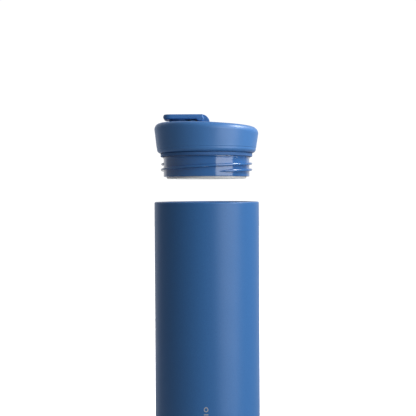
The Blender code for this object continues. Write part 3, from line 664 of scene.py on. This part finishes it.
class BOTTLE_OT_collar(bpy.types.Operator):
    """Builds the lid's satin collar with its domed, sloping top and hinge ears"""
    bl_idname = "bottle.collar"
    bl_label = "Lid Collar"
    bl_options = {"REGISTER", "UNDO"}

    def execute(self, context):
        sizes, colours = context.scene.bottle_sizes, context.scene.bottle_colours
        cap = turned(self.outline(sizes), sizes.turned_steps)
        slope = math.tan(sizes.top_slope)
        for vert in cap.verts:
            if vert.co.z > LID_Z + sizes.shoulder_z - 0.1 * MM:
                vert.co.z -= slope * vert.co.x
        low, high = LID_Z + 10 * MM, LID_Z + 30 * MM
        tools = [
            ("DIFFERENCE", disc(0, SPOUT_WAY, low, high, 64, (SPOUT_X, 0))),
            ("DIFFERENCE", disc(0, VENT_WAY, low, high, 32, (VENT_X, 0))),
        ]
        for side in (-1, 1):
            ear = self.ear(sizes)
            bmesh.ops.translate(ear, verts=ear.verts, vec=(0, side * EAR_Y, 0))
            tools.append(("UNION", ear))
        tools.append(("DIFFERENCE", rod(PIN_RADIUS + GAP, PIN_HIGH.y, PIN_X, PIN_Z)))
        tools.append(("UNION", self.rest(sizes)))
        satin = moulded("satin_polypropylene", tuple(colours.satin), 0.4, 0.7 * MM, 0.02 * MM)
        collar = combined(cap, tools)
        piece("lid_cap", collar, satin, "lid", "blue_satin", "lid_collar", sharp=32)
        return {"FINISHED"}

    def top_z(self, radius, sizes):
        """Height of the crowned top above the collar's underside, before it is sloped."""
        edge_z = sizes.shoulder_z + sizes.shoulder_round * 0.98
        edge_r = COLLAR_HIGH.x - sizes.shoulder_round
        return sizes.crown_z - (sizes.crown_z - edge_z) * (radius / edge_r) ** 2

    def outline(self, sizes):
        """Outer face from the lip up to the crown, then the inner face back down."""
        low_radius, inner_lip, wall = 34.8 * MM, 32.4 * MM, 2.2 * MM
        crease_z, under, step = 3.5 * MM, 2.6 * MM, 0.25 * MM
        ledge, ledge_z = low_radius - 1.5 * MM, 4.0 * MM
        radius, rounding = COLLAR_HIGH.x, sizes.shoulder_round
        shoulder = (radius - rounding, sizes.shoulder_z)
        outside = [(inner_lip, 0.0)]
        outside += arc((low_radius - step - under, under), under, -86, 0, 10)
        outside += [(low_radius - step, crease_z - 0.15 * MM)]
        outside += [(low_radius - 0.05 * MM, crease_z + 0.05 * MM)]
        outside += [(low_radius, crease_z + 0.25 * MM)]
        outside += arc(shoulder, rounding, 0, 76, 12)
        crown = [(radius - rounding) * i / 12 for i in range(11, -1, -1)]
        outside += [(r, self.top_z(r, sizes)) for r in crown]
        inside = [(r, self.top_z(r, sizes) - wall) for r in reversed(crown)]
        inside += arc(shoulder, rounding - wall, 76, 0, 6)
        inside += [(ledge, ledge_z), (inner_lip, ledge_z)]
        return [(r, LID_Z + z) for r, z in outside + inside]

    def rest(self, sizes):
        """A low rounded bar across the top that the closed flap comes down to."""
        front, back, half_width = -10.9 * MM, -7.4 * MM, 7.2 * MM
        low, top = LID_Z + sizes.crown_z - MM, FLAP_HIGH.z - sizes.flap_thickness - GAP
        bar = block((front, -half_width, low), (back, half_width, top))
        rims = [e for e in bar.edges if all(v.co.z > top - GAP for v in e.verts)]
        bmesh.ops.bevel(
            bar, geom=rims, offset=0.4 * MM, segments=3, affect="EDGES", profile=0.5, material=-1,
        )
        return bar

    def ear(self, sizes):
        """A fixed hinge ear: round over the pin, with a long ramp down to the lid's middle."""
        reach, half, edge, steps = FLAP_HIGH.z - PIN_Z, 1.7 * MM, 0.4 * MM, 16
        root_x = 2.4 * MM
        foot_z = LID_Z + self.top_z(root_x, sizes) - math.tan(sizes.top_slope) * root_x - edge
        low = LID_Z + sizes.crown_z - 1.2 * MM
        points = arc((PIN_X, PIN_Z), reach, 180, 90, steps)
        for i in range(1, steps + 1):
            angle = math.radians(90 - 84 * i / steps)
            points.append((
                PIN_X + (root_x - PIN_X) * math.cos(angle),
                foot_z + (FLAP_HIGH.z - foot_z) * math.sin(angle),
            ))
        points += [(root_x, low), (PIN_X - reach, low)]
        return round_long_edges(extruded(points, -half, half), half, edge, 4)


class BOTTLE_OT_plug(bpy.types.Operator):
    """Builds the polished plug with its two-start thread, and the gasket above it"""
    bl_idname = "bottle.plug"
    bl_label = "Threaded Plug"
    bl_options = {"REGISTER", "UNDO"}

    def execute(self, context):
        sizes, colours = context.scene.bottle_sizes, context.scene.bottle_colours
        outer, low, high = sizes.plug_radius, PLUG_LOW.z, PLUG_HIGH.z
        inner, seat, flange = outer - 1.8 * MM, outer + 0.6 * MM, PLUG_HIGH.x
        seat_top, edge, sweep = GASKET_LOW.z - GAP, 0.5 * MM, math.radians(265)
        flange_low, flange_high = LID_Z + 4.3 * MM, LID_Z + 5.8 * MM
        points = [(inner, low + 0.2 * MM), (inner + 0.2 * MM, low)]
        points += arc((outer - edge, low + edge), edge, -90, 0, 6)
        points += [(outer, seat_top - 1.0 * MM), (outer + 0.1 * MM, seat_top - 0.85 * MM)]
        points += [(seat - 0.1 * MM, seat_top - 0.65 * MM), (seat, seat_top - 0.5 * MM)]
        points += [(seat, seat_top - 0.1 * MM), (seat - 0.1 * MM, seat_top), (outer, seat_top)]
        points += [(outer, flange_low), (flange, flange_low), (flange, flange_high)]
        points += [(outer, flange_high), (outer, high), (inner, high)]
        ridges = [
            ("UNION", thread(
                outer, sizes.thread_tip, math.radians(THREAD_TURN + 360 / THREAD_STARTS * i),
                sweep, low + THREAD_Z, sizes.thread_lead, sizes.turned_steps,
            ))
            for i in range(THREAD_STARTS)
        ]
        gloss = moulded(
            "polished_polypropylene", tuple(colours.polished), 0.16, 3.0 * MM, 0.01 * MM, 0.5,
        )
        plug = combined(turned(points, sizes.turned_steps), ridges)
        piece("threaded_plug", plug, gloss, "lid", "blue_gloss", "lid_plug", sharp=30)
        self.gasket(sizes, colours)
        return {"FINISHED"}

    def gasket(self, sizes, colours):
        """A ring with a rounded sealing lip over a shallow waist."""
        inner, outer = sizes.plug_radius + GAP, GASKET_HIGH.x
        # It reaches up over its running clearance, so that no light shows under the collar.
        low, high, lip, waist = GASKET_LOW.z, GASKET_HIGH.z + 0.35 * MM, 0.55 * MM, 0.15 * MM
        points = [(inner, low), *arc((outer - lip, low + lip), lip, -90, 20, 6)]
        points += [(outer - waist, (low + high) / 2)]
        points += [*arc((outer - lip, high - lip), lip, -20, 90, 6), (inner, high)]
        finish = silicone("blue_silicone", tuple(colours.seal))
        ring = turned(points, sizes.turned_steps)
        piece("gasket_ring", ring, finish, "lid_seal", "blue_silicone", "rim_gasket")


class BOTTLE_OT_underside(bpy.types.Operator):
    """Builds the pale disc under the lid, the drinking tube and the air vent"""
    bl_idname = "bottle.underside"
    bl_label = "Lid Underside"
    bl_options = {"REGISTER", "UNDO"}

    def execute(self, context):
        sizes, colours = context.scene.bottle_sizes, context.scene.bottle_colours
        outer, face, high = DISC_HIGH.x, DISC_LOW.z, DISC_HIGH.z
        recess, recess_z = 20.0 * MM, face + 2.2 * MM
        roof, wall = recess_z + 1.2 * MM, outer - 2.5 * MM
        edge, crease, bead, flat = 0.9 * MM, 0.9 * MM, 0.8 * MM, recess - 2.2 * MM
        points = [(0, recess_z), (flat, recess_z)]
        points += arc((flat, recess_z - crease), crease, 90, 10, 5)
        points += arc((recess + bead / 2, face + bead), bead, 190, 270, 5)
        points += arc((outer - edge, face + edge), edge, -90, 0, 8)
        points += [(outer, high), (wall, high), (wall, roof), (0, roof)]
        tools = [
            ("DIFFERENCE", disc(0, SPOUT_WAY, face - MM, high + MM, 64, (SPOUT_X, 0))),
            ("DIFFERENCE", disc(0, VENT_WAY, face - MM, high + MM, 32, (VENT_X, 0))),
        ]
        pale = natural_polypropylene(tuple(colours.pale))
        under = combined(turned(points, sizes.turned_steps), tools)
        piece("underside_disc", under, pale, "lid", "pale_plastic", "lid_liner")
        self.tubes(colours)
        return {"FINISHED"}

    def tubes(self, colours):
        gloss = moulded("polished_tube", tuple(colours.polished), 0.18, 3.0 * MM, 0.01 * MM, 0.3)
        parts = (
            ("drinking_tube", SPOUT_LOW, SPOUT_HIGH, SPOUT_X, 6.0 * MM, 64, "spout_tube"),
            ("air_vent", VENT_LOW, VENT_HIGH, VENT_X, 0.8 * MM, 32, "vent_tube"),
        )
        for name, low, high, x, bore, steps, node in parts:
            outer = (high.x - low.x) / 2
            lip = min(0.4 * MM, (outer - bore) / 2)
            points = [(bore, low.z), (outer, low.z)]
            points += arc((outer - lip, high.z - lip), lip, 0, 90, 5)
            points += arc((bore + lip, high.z - lip), lip, 90, 180, 5)
            piece(name, turned(points, steps, (x, 0)), gloss, "lid", "blue_gloss", node)
        radius = (VALVE_HIGH.x - VALVE_LOW.x) / 2
        valve = disc(0, radius, VALVE_LOW.z, VALVE_HIGH.z, 32, (VENT_X, 0), 0.4 * MM)
        half_long, half_wide, deep = 1.5 * MM, 0.12 * MM, 0.7 * MM
        slit = block(
            (VENT_X - half_long, -half_wide, VALVE_LOW.z - MM),
            (VENT_X + half_long, half_wide, VALVE_LOW.z + deep),
        )
        finish = silicone("grey_valve_silicone", tuple(colours.foot))
        valve = combined(valve, [("DIFFERENCE", slit)])
        piece("vent_duckbill", valve, finish, "lid", "grey_silicone", "vent_valve")


class BOTTLE_OT_flap(bpy.types.Operator):
    """Builds the drinking flap with its knuckles, its stopper and the hinge pin"""
    bl_idname = "bottle.flap"
    bl_label = "Drinking Flap"
    bl_options = {"REGISTER", "UNDO"}

    def execute(self, context):
        sizes, colours = context.scene.bottle_sizes, context.scene.bottle_colours
        half_width, corner, edge, cuts = FLAP_HIGH.y, sizes.flap_corner, 1.0 * MM, 12
        bar = extruded(self.outline(sizes), -half_width, half_width)
        bar = round_long_edges(bar, half_width, edge)
        centre_x = FLAP_LOW.x + corner
        for i in range(cuts):
            x = centre_x - corner * math.sin(math.pi / 2 * i / cuts)
            bmesh.ops.bisect_plane(
                bar, geom=[*bar.verts, *bar.edges, *bar.faces], dist=1e-7,
                plane_co=(x, 0, 0), plane_no=(1, 0, 0),
            )
        for vert in bar.verts:
            if vert.co.x < centre_x:
                reach = centre_x - vert.co.x
                limit = half_width - corner + math.sqrt(max(0.0, corner ** 2 - reach ** 2))
                vert.co.y *= limit / half_width
        # Slots in which the lid's two ears stand, cut right through the knuckle
        ear_reach, half_slot, through = FLAP_HIGH.z - PIN_Z + 0.4 * MM, 2.0 * MM, 12 * MM
        tools = [
            ("DIFFERENCE", block(
                (PIN_X - ear_reach, side * EAR_Y - half_slot, PIN_Z - through),
                (PIN_X + through, side * EAR_Y + half_slot, PIN_Z + through),
            ))
            for side in (-1, 1)
        ]
        tools.append(("DIFFERENCE", rod(PIN_RADIUS + GAP, PIN_HIGH.y + GAP, PIN_X, PIN_Z)))
        satin = moulded("satin_flap", tuple(colours.satin), 0.4, 0.7 * MM, 0.02 * MM)
        piece("drinking_flap", combined(bar, tools), satin, "flap", "blue_satin", "flap", sharp=32)
        steel = turned_steel("hinge_steel", tuple(colours.steel), 0.25, 0.3 * MM)
        hinge = rod(PIN_RADIUS, PIN_HIGH.y, PIN_X, PIN_Z, edge=0.2 * MM)
        piece("flap_pin", hinge, steel, "lid", "steel", "hinge_pin")
        self.stopper(sizes, colours)
        return {"FINISHED"}

    def outline(self, sizes):
        """Side view: a bar with a round nose, ending in a knuckle that clears the lid."""
        half, top = sizes.flap_thickness / 2, FLAP_HIGH.z
        nose_x, end_x = FLAP_LOW.x + half, PIN_X - 4.0 * MM
        steps = 14
        under = [
            (nose_x + (end_x - nose_x) * i / steps, top - 2 * half) for i in range(steps, 0, -1)
        ]
        nose = arc((nose_x, top - half), half, 270, 90, 16)
        over = [(nose_x + (PIN_X - 1 * MM - nose_x) * i / steps, top) for i in range(1, steps + 1)]
        reach, low = top - PIN_Z, PIN_Z - FLAP_LOW.z
        opened = math.radians(frame["joints"][2]["range_deg"][1])
        knuckle = []
        for i in range(19):
            angle = math.radians(90 - 75 * i / 18)
            radius = min(reach, low / math.sin(min(opened - angle, math.pi / 2)))
            knuckle.append((PIN_X + radius * math.cos(angle), PIN_Z + radius * math.sin(angle)))
        round_under = arc((PIN_X, PIN_Z), low, 0, -90, 8)
        return under + nose + over + knuckle + round_under + [(PIN_X - 1.8 * MM, PIN_Z - low)]

    def stopper(self, sizes, colours):
        low, high = STOPPER_LOW.z, FLAP_HIGH.z - sizes.flap_thickness
        flange, rim = (STOPPER_HIGH.x - STOPPER_LOW.x) / 2, STOPPER_HIGH.z - 0.72 * MM
        points = [(0, low), *arc((3.1 * MM, low + 0.8 * MM), 0.8 * MM, -90, -20, 5)]
        points += [(5.2 * MM, rim - 0.35 * MM), (5.5 * MM, rim)]
        points += arc((flange - 0.3 * MM, rim + 0.3 * MM), 0.3 * MM, -90, 0, 4)
        points += [(flange, high), (0, high)]
        finish = silicone("stopper_silicone", tuple(colours.seal))
        plug = turned(points, 64, (SPOUT_X, 0))
        piece("flap_stopper", plug, finish, "flap", "blue_silicone", "stopper")


class BOTTLE_OT_hidden(bpy.types.Operator):
    """Gives the pieces that are shut inside the walls and the lid their finishes"""
    bl_idname = "bottle.hidden"
    bl_label = "Hidden Pieces"
    bl_options = {"REGISTER", "UNDO"}

    def execute(self, context):
        finishes = {
            "copper_foil": inner_finish("copper_foil", "#c98a63", 0.22, 1.0, 6 * MM),
            "getter": inner_finish("sintered_getter_alloy", "#5c5c5e", 0.6, 0.8, 0.5 * MM),
            "getter_holder": inner_finish("pressed_steel_clip", "#b7b8ba", 0.35, 1.0, 2 * MM),
            "lid_foam": inner_finish("rigid_insulating_foam", "#ece7d4", 0.9, 0.0, 0.8 * MM),
            "detent_spring": inner_finish("spring_steel", "#a9abae", 0.28, 1.0, 1 * MM),
            "liner_oring": inner_finish("grey_seal_rubber", "#5d646d", 0.6, 0.0, 1 * MM),
            "spout_seal_ring": inner_finish("grey_ring_rubber", "#5d646d", 0.6, 0.0, 1 * MM),
        }
        for node, finish in finishes.items():
            data = frame["nodes"][node].data
            data.materials.clear()
            data.materials.append(finish)
        return {"FINISHED"}


class BOTTLE_OT_studio(bpy.types.Operator):
    """Sets the pale floor, the softboxes and the camera"""
    bl_idname = "bottle.studio"
    bl_label = "Studio"
    bl_options = {"REGISTER", "UNDO"}

    def execute(self, context):
        scene = context.scene
        scene.view_settings.view_transform = "Standard"
        self.floor(scene)
        self.world(scene)
        # Degrees round from the viewer, height, distance, size and watts
        self.softbox(scene, "key_softbox", 48, 0.35, 0.95, (0.86, 1.35), 12.6)
        self.softbox(scene, "window", 100, 0.95, 0.7, (0.42, 0.26), 9.0)
        self.softbox(scene, "backdrop", 180, 0.5, 1.6, (3.4, 2.2), 9.0)
        fill = self.softbox(scene, "back_fill", 212, 0.5, 1.1, (0.9, 0.9), 6.0)
        fill.visible_glossy = False
        # Radius, height, watts, and the turn that faces the light up or down
        up, down = math.pi, 0.0
        self.level_light(scene, "table", 0.4, 2 * MM, 0.34, up)
        self.level_light(scene, "mouth_bounce", 26 * MM, RIM_Z - 8 * MM, 0.004, up)
        inside = self.level_light(scene, "vessel_fill", 28 * MM, RIM_Z - 5 * MM, 0.04, down)
        inside.visible_glossy = True
        self.camera(scene)
        return {"FINISHED"}

    def floor(self, scene):
        mesh = bmesh.new()
        bmesh.ops.create_circle(mesh, cap_ends=True, segments=96, radius=4.0)
        bmesh.ops.translate(mesh, verts=mesh.verts, vec=(0, 0, -0.2 * MM))
        item = bpy.data.objects.new("studio_floor", to_mesh(mesh, "studio_floor"))
        scene.collection.objects.link(item)
        # Uncoated studio paper: plain white with a faint tooth. It glows evenly white away from the
        # base and less towards it, which paints a shade round the base on top of the lamps' own
        # shadow there.
        made, tree, shader, place = new_finish("seamless_paper")
        tooth = add(tree, NOISE, None, {"Vector": place, "Scale": 1 / (4 * MM)})["Fac"]
        relief = add(tree, BUMP, None, {"Height": tooth, "Distance": 0.05 * MM, "Strength": 0.1})
        away = add(tree, "ShaderNodeVectorMath", {"operation": "LENGTH"}, {0: place})["Value"]
        # Painted shade round the base: the glow falls from 1.05 far out to 0.7 within 4 cm of the
        # axis.
        lit = add(tree, RANGE, None, {
            "Value": away, "From Min": 0.04, "From Max": 0.11, "To Min": 0.7, "To Max": 1.05,
        })
        feed(tree, shader, {
            "Base Color": linear("#f4f4f3"), "Roughness": 0.9, "Normal": relief["Normal"],
            "Emission Color": (1, 1, 1, 1), "Emission Strength": lit["Result"],
        })
        item.data.materials.append(made)
        item.visible_diffuse = False
        item.visible_glossy = False

    def world(self, scene):
        """White to the camera, and a dim even glow to everything that it lights."""
        made = bpy.data.worlds.new("studio_world")
        made.use_nodes = True
        tree = made.node_tree
        tree.nodes.clear()
        seen = add(tree, "ShaderNodeBackground", None, {"Color": (1, 1, 1, 1), "Strength": 1.05})
        glow = add(tree, "ShaderNodeBackground", None, {"Color": (1, 1, 1, 1), "Strength": 0.13})
        sheen = add(tree, "ShaderNodeBackground", None, {"Color": (1, 1, 1, 1), "Strength": 0.35})
        path = add(tree, "ShaderNodeLightPath")
        lit = add(
            tree, "ShaderNodeMixShader", None,
            {0: path["Is Glossy Ray"], 1: glow[0], 2: sheen[0]},
        )
        mixed = add(
            tree, "ShaderNodeMixShader", None,
            {0: path["Is Camera Ray"], 1: lit[0], 2: seen[0]},
        )
        add(tree, "ShaderNodeOutputWorld", None, {"Surface": mixed[0]})
        scene.world = made

    def softbox(self, scene, name, azimuth, height, distance, size, power):
        """A rectangular light aimed just below the rim, azimuth degrees round from the viewer."""
        data = bpy.data.lights.new(name, "AREA")
        data.shape = "RECTANGLE"
        data.size, data.size_y = size
        data.energy = power
        item = bpy.data.objects.new(name, data)
        turn = math.radians(azimuth)
        item.location = (distance * math.sin(turn), -distance * math.cos(turn), height)
        aim = Vector((0, 0, RIM_Z - 10 * MM)) - item.location
        item.rotation_euler = aim.to_track_quat("-Z", "Y").to_euler()
        item.visible_camera = False
        scene.collection.objects.link(item)
        return item

    def level_light(self, scene, name, radius, height, power, turn):
        """A round light that lies flat and stands for what a pale or shiny surface throws back."""
        data = bpy.data.lights.new(name, "AREA")
        data.shape = "DISK"
        data.size = 2 * radius
        data.energy = power
        item = bpy.data.objects.new(name, data)
        item.location = (0, 0, height)
        item.rotation_euler = (turn, 0, 0)
        item.visible_camera = False
        item.visible_glossy = False
        scene.collection.objects.link(item)
        return item

    def camera(self, scene):
        """Looks along +Y from just above the rim, with the base below the frame.

        Its roll makes the bottle lean a little to the left, as a hand-held camera does.
        """
        distance, eye_z, middle_z, width, roll = 0.55, 0.2078, 0.1956, 0.2914, 0.29
        data = bpy.data.cameras.new("camera")
        data.sensor_width = 36.0
        data.lens = data.sensor_width * distance / width
        data.shift_y = (middle_z - eye_z) / width
        data.clip_start, data.clip_end = 0.01, 50.0
        item = bpy.data.objects.new("camera", data)
        item.location = (0.96 * MM, -distance, eye_z)
        item.rotation_euler = (math.pi / 2, math.radians(roll), 0)
        scene.collection.objects.link(item)
        scene.camera = item


class BOTTLE_PT_builder(bpy.types.Panel):
    """Lists the builders and their settings"""
    bl_label = "Bottle"
    bl_idname = "BOTTLE_PT_builder"
    bl_space_type = "VIEW_3D"
    bl_region_type = "UI"
    bl_category = "Bottle"

    def draw(self, context):
        for operator in OPERATORS:
            self.layout.operator(operator.bl_idname)
        for group in (context.scene.bottle_sizes, context.scene.bottle_colours):
            for name in group.__annotations__:
                self.layout.prop(group, name)


OPERATORS = (
    BOTTLE_OT_wall, BOTTLE_OT_vessel, BOTTLE_OT_base, BOTTLE_OT_collar, BOTTLE_OT_plug,
    BOTTLE_OT_underside, BOTTLE_OT_flap, BOTTLE_OT_hidden, BOTTLE_OT_studio,
)
CLASSES = (BottleSizes, BottleColours, *OPERATORS, BOTTLE_PT_builder)


def register():
    for item in CLASSES:
        bpy.utils.register_class(item)
    bpy.types.Scene.bottle_sizes = PointerProperty(type=BottleSizes)
    bpy.types.Scene.bottle_colours = PointerProperty(type=BottleColours)


def unregister():
    del bpy.types.Scene.bottle_colours
    del bpy.types.Scene.bottle_sizes
    for item in reversed(CLASSES):
        bpy.utils.unregister_class(item)


def main():
    register()
    bpy.ops.bottle.wall()
    bpy.ops.bottle.vessel()
    bpy.ops.bottle.base()
    bpy.ops.bottle.collar()
    bpy.ops.bottle.plug()
    bpy.ops.bottle.underside()
    bpy.ops.bottle.flap()
    bpy.ops.bottle.hidden()
    bpy.ops.bottle.studio()


if __name__ == "__main__":
    main()
